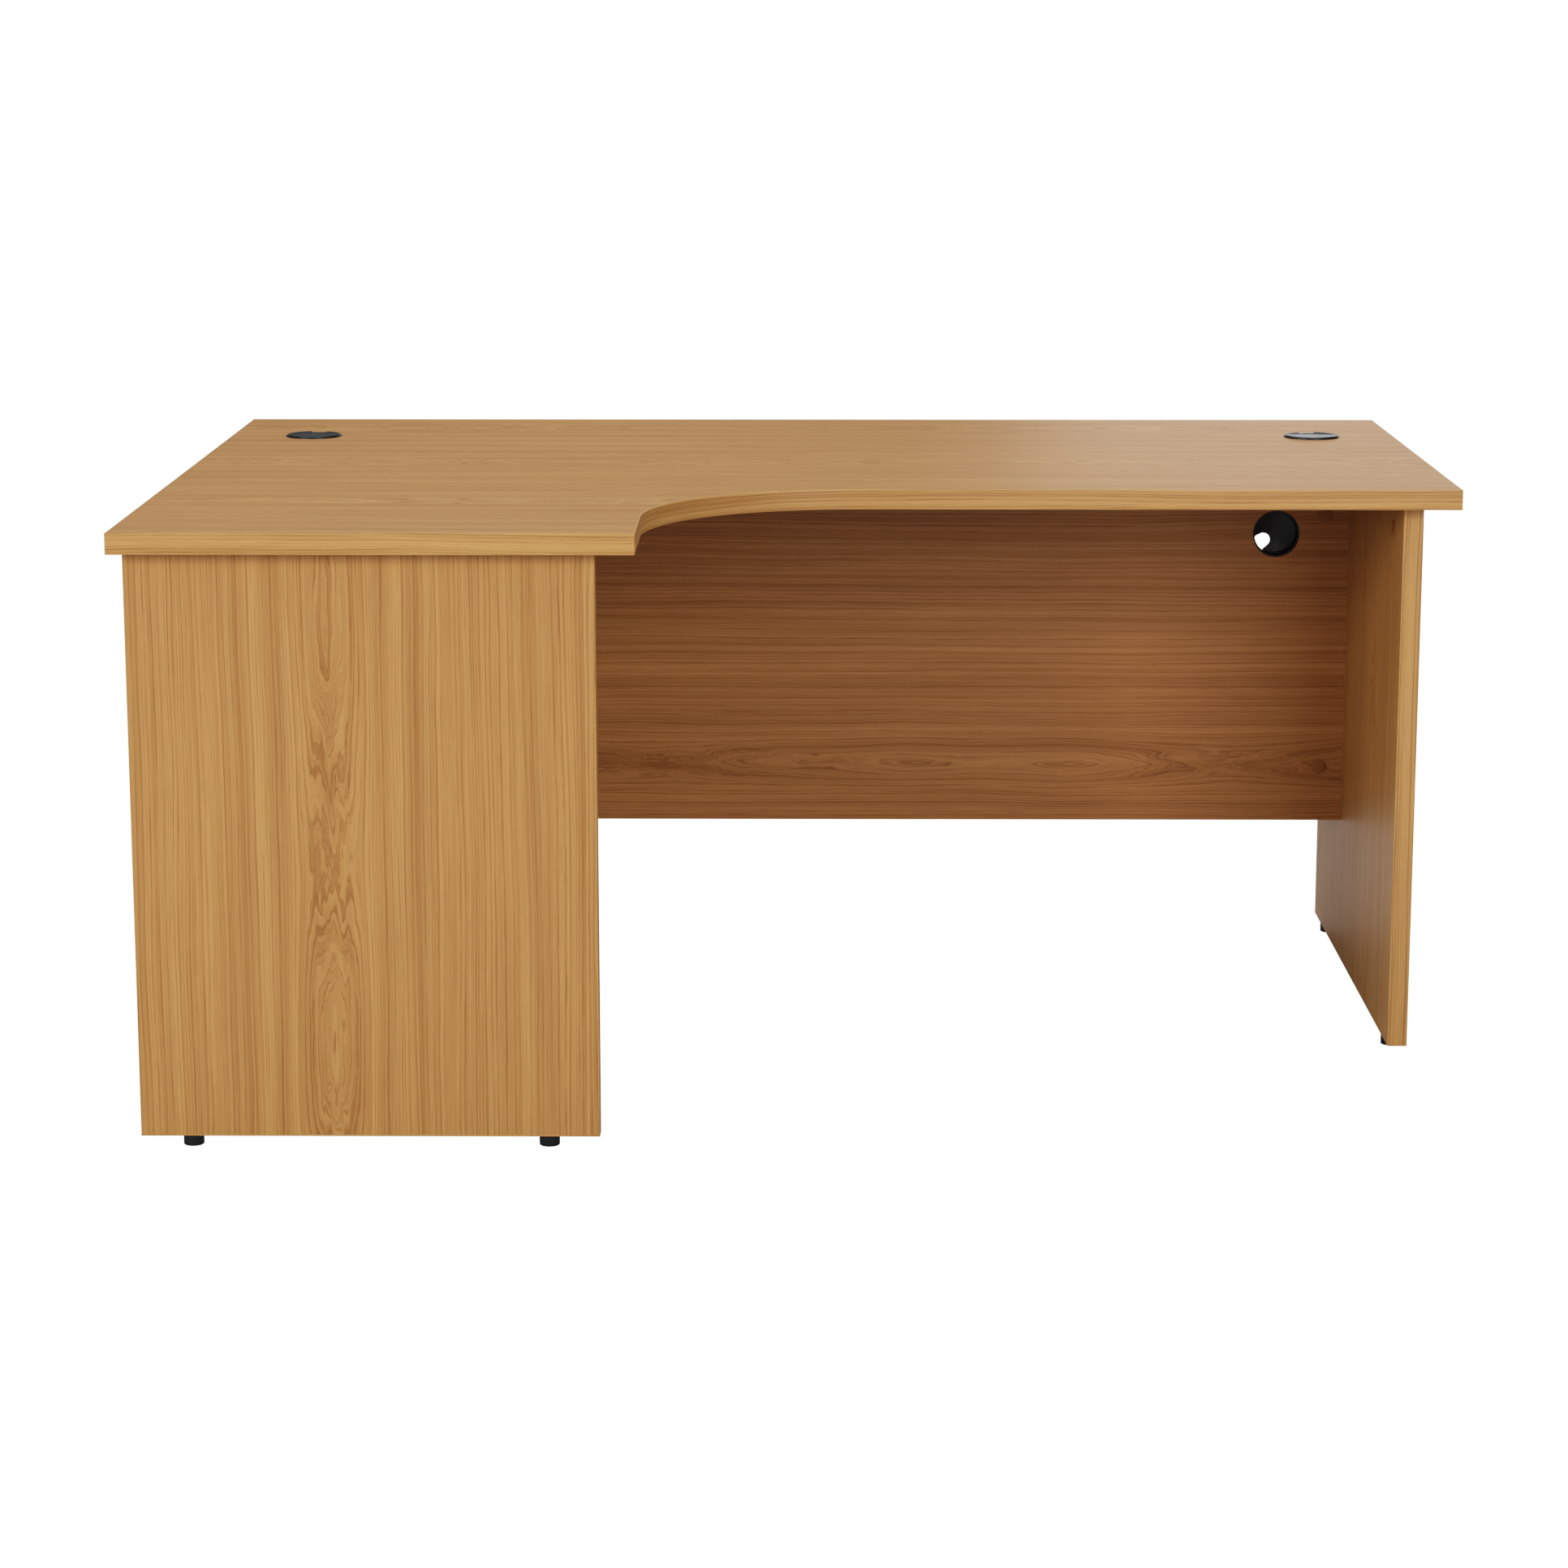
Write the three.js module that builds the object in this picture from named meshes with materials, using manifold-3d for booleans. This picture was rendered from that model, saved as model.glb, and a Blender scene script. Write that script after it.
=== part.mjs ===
// A left-hand corner desk for a teacher: an L-shaped top with a curved inner edge, carried by
// three panel legs and stiffened by two modesty panels. The boards are oak-faced chipboard with
// glued edging strips, pulled together by cam fittings, and stand on six levelling feet.
// Millimetres, +Z up, +X to the sitter's right, the sitter at -Y. The origin is on the floor
// under the middle of the top.

import * as THREE from 'three';
import { mergeVertices } from 'three/addons/utils/BufferGeometryUtils.js';
import Module from 'manifold-3d';

const wasm = await Module();
wasm.setup();

// Top
const DESK_WIDTH = 1600;
const DESK_DEPTH = 1200;
const DESK_HEIGHT = 730;
const MAIN_DEPTH = 800;
const RETURN_WIDTH = 600;
const INNER_RADIUS = 250;
const BOARD_THICKNESS = 25;
const EDGING_THICKNESS = 2;

// Legs
const FOOT_HEIGHT = 13;
const END_LEG_INSET_SIDE = 41;
const RIGHT_LEG_INSET_FRONT = 38.5;
const LEG_INSET_REAR = 27;
const RETURN_LEG_INSET_SIDE = 14;
const RETURN_LEG_INSET_INNER = 47;
const RETURN_LEG_INSET_FRONT = 29;

// Modesty panels
const MODESTY_THICKNESS = 18;
const MODESTY_HEIGHT = 502;
const MODESTY_SETBACK = 270;

// Cable ports
const PORT_HOLE_RADIUS = 32;
const PORT_FLANGE_LIP = 6;
const PORT_FLANGE_THICKNESS = 1.5;
const PORT_WALL = 2;
const PORT_SLEEVE_STOP = 4;
const PORT_CAP_SETBACK = 1.5;
const PORT_CAP_THICKNESS = 1.5;
const PORT_CAP_ROUND = 0.75;
const PORT_SKIRT_WALL = 1.5;
const PORT_SKIRT_DEPTH = 6.5;
const PORT_NOTCH_RADIUS = 9.5;
const PORT_NOTCH_REACH = 19;
const PORT_NOTCH_FLARE = 7.5;
const TOP_PORT_INSET_SIDE = 114;
const TOP_PORT_BEHIND_MODESTY = 2;
const TOP_PORT_TURN = 7;
const MODESTY_PORT_INSET = 99;
const MODESTY_PORT_DROP = 102;
const MODESTY_PORT_TURN = 124;

// Levelling feet and the threaded inserts that they screw into
const FOOT_RADIUS = 12;
const FOOT_ROUND = 1.5;
const FOOT_INSET = 60;
const STUD_RADIUS = 3.7;
const STUD_LENGTH = 20;
const INSERT_WALL = 1.5;
const INSERT_LENGTH = 22;

// Cam fittings, each with its bolt gripped in it, and their covers
const CAM_RADIUS = 7.5;
const CAM_BELOW_BOLT = 3.5;
const CAM_SINK = 0.5;
const CAM_SOCKET_RADIUS = 3.5;
const CAM_SOCKET_DEPTH = 3;
const LEG_CAM_DROP = 37;
const LEG_CAM_INSET = 81;
const MODESTY_CAM_REACH = 33;
const MODESTY_CAM_INSET = 76;
const BOLT_SHANK_RADIUS = 3.5;
const BOLT_THREAD_RADIUS = 2.8;
const BOLT_THREAD_LENGTH = 11;
const COVER_RADIUS = 10;
const COVER_THICKNESS = 1.4;
const COVER_ROUND = 0.6;
const COVER_STUB_LENGTH = 2;

// Fits
const CLEARANCE = 0.3;
const BLIND_END = 1;
const OVERCUT = 5;

// Facets
const CURVE_SEGMENTS = 20;
const NOTCH_SEGMENTS = 5;
const PORT_SEGMENTS = 32;
const FITTING_SEGMENTS = 12;

// Places worked out from the sizes above
const TOP_UNDERSIDE = DESK_HEIGHT - BOARD_THICKNESS;
const LEG_HEIGHT = TOP_UNDERSIDE - FOOT_HEIGHT;
const HALF_WIDTH = DESK_WIDTH / 2;
const HALF_DEPTH = DESK_DEPTH / 2;
const MAIN_FRONT = HALF_DEPTH - MAIN_DEPTH;
const CURVE_ROOM = Math.min(DESK_DEPTH - MAIN_DEPTH, DESK_WIDTH - RETURN_WIDTH);
const CURVE_RADIUS = Math.min(INNER_RADIUS, CURVE_ROOM - 2 * EDGING_THICKNESS);
const RETURN_INNER_EDGE = RETURN_WIDTH - HALF_WIDTH;
const END_LEG_OUTER = HALF_WIDTH - END_LEG_INSET_SIDE;
const END_LEG_INNER = END_LEG_OUTER - BOARD_THICKNESS;
const LEG_REAR = HALF_DEPTH - LEG_INSET_REAR;
const RIGHT_LEG_FRONT = MAIN_FRONT + RIGHT_LEG_INSET_FRONT;
const RETURN_LEG_LEFT = RETURN_LEG_INSET_SIDE - HALF_WIDTH;
const RETURN_LEG_FRONT = RETURN_LEG_INSET_FRONT - HALF_DEPTH;
const RETURN_LEG_INNER = RETURN_LEG_FRONT + BOARD_THICKNESS;
const RETURN_LEG_WIDTH = RETURN_WIDTH - RETURN_LEG_INSET_SIDE - RETURN_LEG_INSET_INNER;
const MODESTY_BOTTOM = TOP_UNDERSIDE - MODESTY_HEIGHT;
const MAIN_MODESTY_FRONT = HALF_DEPTH - MODESTY_SETBACK;
const MAIN_MODESTY_REAR = MAIN_MODESTY_FRONT + MODESTY_THICKNESS;
const RETURN_MODESTY_INNER = MODESTY_SETBACK - HALF_WIDTH;
const TOP_PORT_X = HALF_WIDTH - TOP_PORT_INSET_SIDE;
const TOP_PORT_Y = MAIN_MODESTY_REAR + TOP_PORT_BEHIND_MODESTY + PORT_HOLE_RADIUS;
const PORT_FLANGE_RADIUS = PORT_HOLE_RADIUS + PORT_FLANGE_LIP;
const PORT_CAP_RADIUS = PORT_FLANGE_RADIUS - PORT_CAP_SETBACK;

// ---------------------------------------------------------------- solids

function toSolid(geometry) {
  const bare = geometry.clone();
  bare.deleteAttribute('normal');
  bare.deleteAttribute('uv');
  const merged = mergeVertices(bare);
  const corners = merged.index.array;
  const triangles = [];
  for (let i = 0; i < corners.length; i += 3) {
    const [a, b, c] = [corners[i], corners[i + 1], corners[i + 2]];
    if (a !== b && b !== c && c !== a) triangles.push(a, b, c);
  }
  return new wasm.Manifold(new wasm.Mesh({
    numProp: 3,
    vertProperties: merged.attributes.position.array,
    triVerts: new Uint32Array(triangles),
  }));
}

function toGeometry(solid) {
  const mesh = solid.getMesh();
  const geometry = new THREE.BufferGeometry();
  geometry.setAttribute('position', new THREE.BufferAttribute(mesh.vertProperties, 3));
  geometry.setIndex(new THREE.BufferAttribute(mesh.triVerts, 1));
  geometry.computeVertexNormals();
  return geometry;
}

// A ring or a stud from its half-section: [radius, height] points, anticlockwise, closed.
function turned(profile, segments) {
  const points = profile.map(([radius, height]) => new THREE.Vector2(radius, height));
  const lathe = new THREE.LatheGeometry(points, segments);
  lathe.rotateX(Math.PI / 2);
  return toGeometry(toSolid(lathe));
}

function block(length, width, height) {
  return new THREE.BoxGeometry(length, width, height).translate(length / 2, width / 2, height / 2);
}

// A round rod or cutter along +Z, from one height to another.
function rod(radius, from, to, segments = FITTING_SEGMENTS) {
  const cylinder = new THREE.CylinderGeometry(radius, radius, to - from, segments);
  return cylinder.rotateX(Math.PI / 2).translate(0, 0, (from + to) / 2);
}

function rodAlongX(radius, from, to, height) {
  return rod(radius, from, to).rotateY(Math.PI / 2).translate(0, 0, height);
}

// ---------------------------------------------------------------- finishes

function oakLaminate() {
  return new THREE.MeshStandardMaterial({
    color: 0xb98a4c, roughness: 0.45, metalness: 0, flatShading: true,
  });
}

function oakEdging() {
  return new THREE.MeshStandardMaterial({
    color: 0xc0904f, roughness: 0.4, metalness: 0, flatShading: true,
  });
}

function oakPlastic() {
  return new THREE.MeshStandardMaterial({
    color: 0xa9743a, roughness: 0.4, metalness: 0, flatShading: true,
  });
}

function blackPlastic() {
  return new THREE.MeshStandardMaterial({
    color: 0x191b1e, roughness: 0.35, metalness: 0, flatShading: true,
  });
}

function whitePlastic() {
  return new THREE.MeshStandardMaterial({
    color: 0xd8d6cf, roughness: 0.5, metalness: 0, flatShading: true,
  });
}

function zincAlloy() {
  return new THREE.MeshStandardMaterial({
    color: 0xa9abac, roughness: 0.4, metalness: 0.9, flatShading: true,
  });
}

// ---------------------------------------------------------------- assembly helpers

function piece(name, geometry, material, parent) {
  const mesh = new THREE.Mesh(geometry, material);
  mesh.name = name;
  parent.add(mesh);
  return mesh;
}

function group(parent, x, y, z) {
  const node = new THREE.Group();
  node.position.set(x, y, z);
  parent.add(node);
  return node;
}

// A group whose +X and +Z point in the two given directions.
function aimedGroup(parent, place, xAxis, zAxis) {
  const node = group(parent, ...place);
  const x = new THREE.Vector3(...xAxis);
  const z = new THREE.Vector3(...zAxis);
  const y = new THREE.Vector3().crossVectors(z, x);
  node.quaternion.setFromRotationMatrix(new THREE.Matrix4().makeBasis(x, y, z));
  return node;
}

// Holes are noted where their fitting is made, and cut once every board stands in its place.
const holes = [];

function drill(board, fitting, cutter) {
  holes.push({ board, fitting, cutter });
}

function cutHoles(desk) {
  desk.updateMatrixWorld(true);
  const boards = new Set(holes.map((hole) => hole.board));
  for (const board of boards) {
    const toBoard = board.matrixWorld.clone().invert();
    let solid = toSolid(board.geometry);
    for (const hole of holes.filter((each) => each.board === board)) {
      const place = toBoard.clone().multiply(hole.fitting.matrixWorld);
      solid = solid.subtract(toSolid(hole.cutter.clone().applyMatrix4(place)));
    }
    board.geometry = toGeometry(solid);
  }
}

// ---------------------------------------------------------------- top

// The L-shaped outline, drawn back from the finished edges by the given amount.
function topOutline(inset) {
  const shape = new THREE.Shape();
  shape.moveTo(inset - HALF_WIDTH, inset - HALF_DEPTH);
  shape.lineTo(RETURN_INNER_EDGE - inset, inset - HALF_DEPTH);
  shape.absarc(
    RETURN_INNER_EDGE + CURVE_RADIUS, MAIN_FRONT - CURVE_RADIUS,
    CURVE_RADIUS + inset, Math.PI, Math.PI / 2, true,
  );
  shape.lineTo(HALF_WIDTH - inset, MAIN_FRONT + inset);
  shape.lineTo(HALF_WIDTH - inset, HALF_DEPTH - inset);
  shape.lineTo(inset - HALF_WIDTH, HALF_DEPTH - inset);
  shape.closePath();
  return shape;
}

// The one strip that runs along the return's inner edge, round the curve and along the front.
function innerStripOutline() {
  const shape = new THREE.Shape();
  const centreX = RETURN_INNER_EDGE + CURVE_RADIUS;
  const centreY = MAIN_FRONT - CURVE_RADIUS;
  shape.moveTo(RETURN_INNER_EDGE, EDGING_THICKNESS - HALF_DEPTH);
  shape.absarc(centreX, centreY, CURVE_RADIUS, Math.PI, Math.PI / 2, true);
  shape.lineTo(HALF_WIDTH, MAIN_FRONT);
  shape.lineTo(HALF_WIDTH, MAIN_FRONT + EDGING_THICKNESS);
  shape.absarc(
    centreX, centreY, CURVE_RADIUS + EDGING_THICKNESS, Math.PI / 2, Math.PI, false,
  );
  shape.lineTo(RETURN_INNER_EDGE - EDGING_THICKNESS, EDGING_THICKNESS - HALF_DEPTH);
  shape.closePath();
  return shape;
}

function slab(outline, thickness) {
  return new THREE.ExtrudeGeometry(outline, {
    depth: thickness, bevelEnabled: false, curveSegments: CURVE_SEGMENTS,
  });
}

function makeTop(desk) {
  const top = group(desk, 0, 0, TOP_UNDERSIDE);
  const board = piece(
    'desktop_board', slab(topOutline(EDGING_THICKNESS), BOARD_THICKNESS), oakLaminate(), top,
  );
  piece('desktop_edging_inner', slab(innerStripOutline(), BOARD_THICKNESS), oakEdging(), top);

  const t = EDGING_THICKNESS;
  const straightStrips = [
    ['rear', -HALF_WIDTH, HALF_DEPTH - t, DESK_WIDTH, t],
    ['left', -HALF_WIDTH, t - HALF_DEPTH, t, DESK_DEPTH - 2 * t],
    ['return', -HALF_WIDTH, -HALF_DEPTH, RETURN_WIDTH, t],
    ['right', HALF_WIDTH - t, MAIN_FRONT + t, t, MAIN_DEPTH - 2 * t],
  ];
  for (const [side, x, y, length, width] of straightStrips) {
    const strip = piece(
      `desktop_edging_${side}`, block(length, width, BOARD_THICKNESS), oakEdging(), top,
    );
    strip.position.set(x, y, 0);
  }
  return board;
}

// ---------------------------------------------------------------- legs

// A leg lies in its group's XZ plane, outer face at y = 0 and inner face at y = thickness.
function legEdgingOutline(length) {
  const t = EDGING_THICKNESS;
  const shape = new THREE.Shape();
  shape.moveTo(0, 0);
  shape.lineTo(length, 0);
  shape.lineTo(length, LEG_HEIGHT);
  shape.lineTo(length - t, LEG_HEIGHT);
  shape.lineTo(length - t, t);
  shape.lineTo(t, t);
  shape.lineTo(t, LEG_HEIGHT);
  shape.lineTo(0, LEG_HEIGHT);
  shape.closePath();
  return shape;
}

function footProfile() {
  const top = FOOT_HEIGHT;
  return [
    [0, 0],
    [FOOT_RADIUS - FOOT_ROUND, 0],
    [FOOT_RADIUS, FOOT_ROUND],
    [FOOT_RADIUS, top],
    [STUD_RADIUS, top],
    [STUD_RADIUS, top + STUD_LENGTH],
    [0, top + STUD_LENGTH],
  ];
}

function insertProfile() {
  const bore = STUD_RADIUS + CLEARANCE;
  return [
    [bore, 0],
    [bore + INSERT_WALL, 0],
    [bore + INSERT_WALL, INSERT_LENGTH],
    [bore, INSERT_LENGTH],
    [bore, 0],
  ];
}

function addFoot(leg, boards, name, end, along) {
  const seat = group(leg, along, BOARD_THICKNESS / 2, 0);
  const foot = piece(
    `${name}_foot_${end}`, turned(footProfile(), FITTING_SEGMENTS), blackPlastic(), seat,
  );
  foot.position.z = -FOOT_HEIGHT;
  piece(`${name}_insert_${end}`, turned(insertProfile(), FITTING_SEGMENTS), whitePlastic(), seat);
  const radius = STUD_RADIUS + INSERT_WALL + 2 * CLEARANCE;
  for (const board of boards) {
    drill(board, seat, rod(radius, -OVERCUT, INSERT_LENGTH + BLIND_END));
  }
}

function makeLeg(desk, name, corner, turn, length, ends, top) {
  const leg = group(desk, ...corner);
  leg.rotation.z = THREE.MathUtils.degToRad(turn);
  const t = EDGING_THICKNESS;

  const board = piece(
    `${name}_panel`, block(length - 2 * t, BOARD_THICKNESS, LEG_HEIGHT - t), oakLaminate(), leg,
  );
  board.position.set(t, 0, t);

  const edging = piece(
    `${name}_edging`, slab(legEdgingOutline(length), BOARD_THICKNESS), oakEdging(), leg,
  );
  edging.rotation.x = Math.PI / 2;
  edging.position.y = BOARD_THICKNESS;

  const [first, last] = ends;
  addFoot(leg, [board, edging], name, first, FOOT_INSET);
  addFoot(leg, [board, edging], name, last, length - FOOT_INSET);
  for (const [end, along] of [[first, LEG_CAM_INSET], [last, length - LEG_CAM_INSET]]) {
    addCam(leg, `${name}_cam`, end, {
      place: [along, BOARD_THICKNESS, LEG_HEIGHT - LEG_CAM_DROP],
      boltAxis: [0, 0, 1],
      faceAxis: [0, 1, 0],
      boltDepth: BOARD_THICKNESS / 2,
      reach: LEG_CAM_DROP,
      board,
      boltBoard: top,
    });
  }
  return board;
}

// ---------------------------------------------------------------- cam fittings

// In a fitting's group +Z leaves the board's face and +X runs along the bolt.
function camBody(boltDepth, reach) {
  const housing = toSolid(rod(CAM_RADIUS, -boltDepth - CAM_BELOW_BOLT, -CAM_SINK));
  const socket = toSolid(rod(CAM_SOCKET_RADIUS, -CAM_SINK - CAM_SOCKET_DEPTH, OVERCUT));
  const shank = toSolid(rodAlongX(BOLT_SHANK_RADIUS, 0, reach - CLEARANCE, -boltDepth));
  const thread = toSolid(
    rodAlongX(BOLT_THREAD_RADIUS, 0, reach + BOLT_THREAD_LENGTH, -boltDepth),
  );
  return toGeometry(housing.subtract(socket).add(shank).add(thread));
}

function coverProfile() {
  const stub = CAM_SOCKET_RADIUS - CLEARANCE;
  return [
    [0, -COVER_STUB_LENGTH],
    [stub, -COVER_STUB_LENGTH],
    [stub, 0],
    [COVER_RADIUS, 0],
    [COVER_RADIUS, COVER_THICKNESS - COVER_ROUND],
    [COVER_RADIUS - COVER_ROUND, COVER_THICKNESS],
    [0, COVER_THICKNESS],
  ];
}

// The cam sits in one board, and its bolt is screwed into the other one.
function addCam(parent, name, end, { place, boltAxis, faceAxis, boltDepth, reach, board, boltBoard }) {
  const fitting = aimedGroup(parent, place, boltAxis, faceAxis);
  const cover = turned(coverProfile(), FITTING_SEGMENTS);
  piece(`${name}_${end}`, camBody(boltDepth, reach), zincAlloy(), fitting);
  piece(`${name}_cover_${end}`, cover, oakPlastic(), fitting);

  const camBore = rod(
    CAM_RADIUS + CLEARANCE, -boltDepth - CAM_BELOW_BOLT - CLEARANCE, OVERCUT,
  );
  const shankBore = rodAlongX(BOLT_SHANK_RADIUS + CLEARANCE, 0, reach + OVERCUT, -boltDepth);
  const threadBore = rodAlongX(
    BOLT_THREAD_RADIUS + CLEARANCE, reach - OVERCUT, reach + BOLT_THREAD_LENGTH + BLIND_END,
    -boltDepth,
  );
  drill(board, fitting, camBore);
  drill(board, fitting, shankBore);
  drill(boltBoard, fitting, threadBore);
}

// ---------------------------------------------------------------- modesty panels

// A modesty panel lies in its group's XZ plane, with its cams in the face at y = 0.
function makeModesty(desk, name, corner, turn, length, ends) {
  const panel = group(desk, ...corner);
  panel.rotation.z = THREE.MathUtils.degToRad(turn);
  const board = piece(
    `${name}_panel`, block(length, MODESTY_THICKNESS, MODESTY_HEIGHT), oakLaminate(), panel,
  );

  const heights = [['lower', MODESTY_CAM_INSET], ['upper', MODESTY_HEIGHT - MODESTY_CAM_INSET]];
  for (const { end, along, direction, boltBoard } of ends(length)) {
    for (const [level, height] of heights) {
      addCam(panel, `${name}_cam`, `${end}_${level}`, {
        place: [along, 0, height],
        boltAxis: [direction, 0, 0],
        faceAxis: [0, -1, 0],
        boltDepth: MODESTY_THICKNESS / 2,
        reach: MODESTY_CAM_REACH,
        board,
        boltBoard,
      });
    }
  }
  return board;
}

// ---------------------------------------------------------------- cable ports

// In a port's group z = 0 is the board's face, +Z leaves it and +Y points to the cable notch.
function sleeveProfile(depth) {
  const outer = PORT_HOLE_RADIUS - CLEARANCE;
  const inner = outer - PORT_WALL;
  return [
    [inner, -depth],
    [outer, -depth],
    [outer, 0],
    [PORT_FLANGE_RADIUS, 0],
    [PORT_FLANGE_RADIUS, PORT_FLANGE_THICKNESS],
    [inner, PORT_FLANGE_THICKNESS],
    [inner, -depth],
  ];
}

function capProfile() {
  const low = PORT_FLANGE_THICKNESS;
  const high = low + PORT_CAP_THICKNESS;
  const skirt = PORT_HOLE_RADIUS - PORT_WALL - 3 * CLEARANCE;
  return [
    [0, low],
    [skirt - PORT_SKIRT_WALL, low],
    [skirt - PORT_SKIRT_WALL, low - PORT_SKIRT_DEPTH],
    [skirt, low - PORT_SKIRT_DEPTH],
    [skirt, low],
    [PORT_CAP_RADIUS, low],
    [PORT_CAP_RADIUS, high - PORT_CAP_ROUND],
    [PORT_CAP_RADIUS - PORT_CAP_ROUND, high],
    [0, high],
  ];
}

// A slot from near the middle out past the rim: round at its inner end, opening outwards.
function notchCutter() {
  const flare = THREE.MathUtils.degToRad(PORT_NOTCH_FLARE);
  const rim = PORT_CAP_RADIUS + OVERCUT;
  const sideX = PORT_NOTCH_RADIUS * Math.cos(flare);
  const sideY = PORT_NOTCH_REACH - PORT_NOTCH_RADIUS * Math.sin(flare);
  const rimX = sideX + (rim - sideY) * Math.tan(flare);
  const shape = new THREE.Shape();
  shape.moveTo(rimX, rim);
  shape.lineTo(-rimX, rim);
  shape.lineTo(-sideX, sideY);
  shape.absarc(0, PORT_NOTCH_REACH, PORT_NOTCH_RADIUS, Math.PI + flare, -flare, false);
  shape.closePath();
  const low = PORT_FLANGE_THICKNESS - PORT_SKIRT_DEPTH - OVERCUT;
  const height = PORT_SKIRT_DEPTH + PORT_CAP_THICKNESS + 2 * OVERCUT;
  const cutter = new THREE.ExtrudeGeometry(shape, {
    depth: height, bevelEnabled: false, curveSegments: NOTCH_SEGMENTS,
  });
  return cutter.translate(0, 0, low);
}

function addPort(desk, name, place, notchAxis, faceAxis, board, thickness) {
  const face = new THREE.Vector3(...faceAxis);
  const notch = new THREE.Vector3(...notchAxis);
  const across = new THREE.Vector3().crossVectors(notch, face);
  const port = aimedGroup(desk, place, across.toArray(), faceAxis);
  const depth = thickness - PORT_SLEEVE_STOP;
  piece(`${name}_sleeve`, turned(sleeveProfile(depth), PORT_SEGMENTS), blackPlastic(), port);

  const disc = toSolid(turned(capProfile(), PORT_SEGMENTS));
  const cap = toGeometry(disc.subtract(toSolid(notchCutter())));
  piece(`${name}_cap`, cap, blackPlastic(), port);
  drill(board, port, rod(PORT_HOLE_RADIUS, -thickness - OVERCUT, OVERCUT, PORT_SEGMENTS));
}

// ---------------------------------------------------------------- the desk

const desk = new THREE.Group();
const topBoard = makeTop(desk);

const rightLeg = makeLeg(
  desk, 'right_leg', [END_LEG_OUTER, RIGHT_LEG_FRONT, FOOT_HEIGHT], 90,
  LEG_REAR - RIGHT_LEG_FRONT, ['front', 'rear'], topBoard,
);
const rearLeg = makeLeg(
  desk, 'rear_leg', [-END_LEG_OUTER, LEG_REAR, FOOT_HEIGHT], -90,
  RETURN_LEG_WIDTH, ['rear', 'front'], topBoard,
);
const returnLeg = makeLeg(
  desk, 'return_leg', [RETURN_LEG_LEFT, RETURN_LEG_FRONT, FOOT_HEIGHT], 0,
  RETURN_LEG_WIDTH, ['left', 'right'], topBoard,
);

const mainModesty = makeModesty(
  desk, 'main_modesty', [-END_LEG_INNER, MAIN_MODESTY_FRONT, MODESTY_BOTTOM], 0,
  2 * END_LEG_INNER, (length) => [
    { end: 'left', along: MODESTY_CAM_REACH, direction: -1, boltBoard: rearLeg },
    { end: 'right', along: length - MODESTY_CAM_REACH, direction: 1, boltBoard: rightLeg },
  ],
);
makeModesty(
  desk, 'return_modesty', [RETURN_MODESTY_INNER, RETURN_LEG_INNER, MODESTY_BOTTOM], 90,
  MAIN_MODESTY_FRONT - RETURN_LEG_INNER, (length) => [
    { end: 'front', along: MODESTY_CAM_REACH, direction: -1, boltBoard: returnLeg },
    { end: 'rear', along: length - MODESTY_CAM_REACH, direction: 1, boltBoard: mainModesty },
  ],
);

// Each port's notch points to the rear, turned a little towards the middle of the desk.
for (const [side, x] of [['left', -TOP_PORT_X], ['right', TOP_PORT_X]]) {
  const turn = THREE.MathUtils.degToRad(TOP_PORT_TURN) * Math.sign(-x);
  addPort(
    desk, `${side}_port`, [x, TOP_PORT_Y, DESK_HEIGHT], [Math.sin(turn), Math.cos(turn), 0],
    [0, 0, 1], topBoard, BOARD_THICKNESS,
  );
}
const modestyTurn = THREE.MathUtils.degToRad(MODESTY_PORT_TURN);
addPort(
  desk, 'modesty_port',
  [END_LEG_INNER - MODESTY_PORT_INSET, MAIN_MODESTY_REAR, TOP_UNDERSIDE - MODESTY_PORT_DROP],
  [-Math.sin(modestyTurn), 0, Math.cos(modestyTurn)], [0, 1, 0], mainModesty, MODESTY_THICKNESS,
);

cutHoles(desk);

export default desk;
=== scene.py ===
import math

import bmesh
import bpy
from mathutils import Matrix, Vector


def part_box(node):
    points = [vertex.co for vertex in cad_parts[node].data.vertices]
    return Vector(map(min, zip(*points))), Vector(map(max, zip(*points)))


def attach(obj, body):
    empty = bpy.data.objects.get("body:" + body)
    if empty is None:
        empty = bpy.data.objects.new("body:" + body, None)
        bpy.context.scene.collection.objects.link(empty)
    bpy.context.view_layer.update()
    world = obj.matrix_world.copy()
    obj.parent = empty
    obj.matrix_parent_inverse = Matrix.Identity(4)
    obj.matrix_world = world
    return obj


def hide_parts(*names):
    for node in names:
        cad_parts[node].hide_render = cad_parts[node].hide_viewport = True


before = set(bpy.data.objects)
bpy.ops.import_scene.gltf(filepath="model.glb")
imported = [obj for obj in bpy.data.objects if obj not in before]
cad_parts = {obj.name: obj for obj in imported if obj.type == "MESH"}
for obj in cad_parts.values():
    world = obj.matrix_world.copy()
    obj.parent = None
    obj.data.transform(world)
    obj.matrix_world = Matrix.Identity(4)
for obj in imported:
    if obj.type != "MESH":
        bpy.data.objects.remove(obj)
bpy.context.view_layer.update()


# The studio. A pale seamless floor and backdrop, soft lamps in front, overhead and behind, and
# a soft bounce off the floor. The camera is a long lens at standing height.

FLOOR_HALF = 30.0
CAMERA_PLACE = (0.0034, -4.9698, 1.3305)
CAMERA_PITCH = 0.20063
CAMERA_YAW = 0.00788
CAMERA_LENS = 89.52
GRADE_STOPS = (0.02, 0.05, 0.1, 0.18, 0.28, 0.4, 0.55, 0.75)
GRADE_POWER = 1.44
GRADE_LIFT = 3
AIR_COLOUR = (0.95, 0.97, 1, 1)
AIR_STRENGTH = 0.17
FLOOR_COLOUR = (0.56, 0.56, 0.56, 1)
WHITE = (1, 1, 1, 1)

scene = bpy.context.scene


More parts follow.
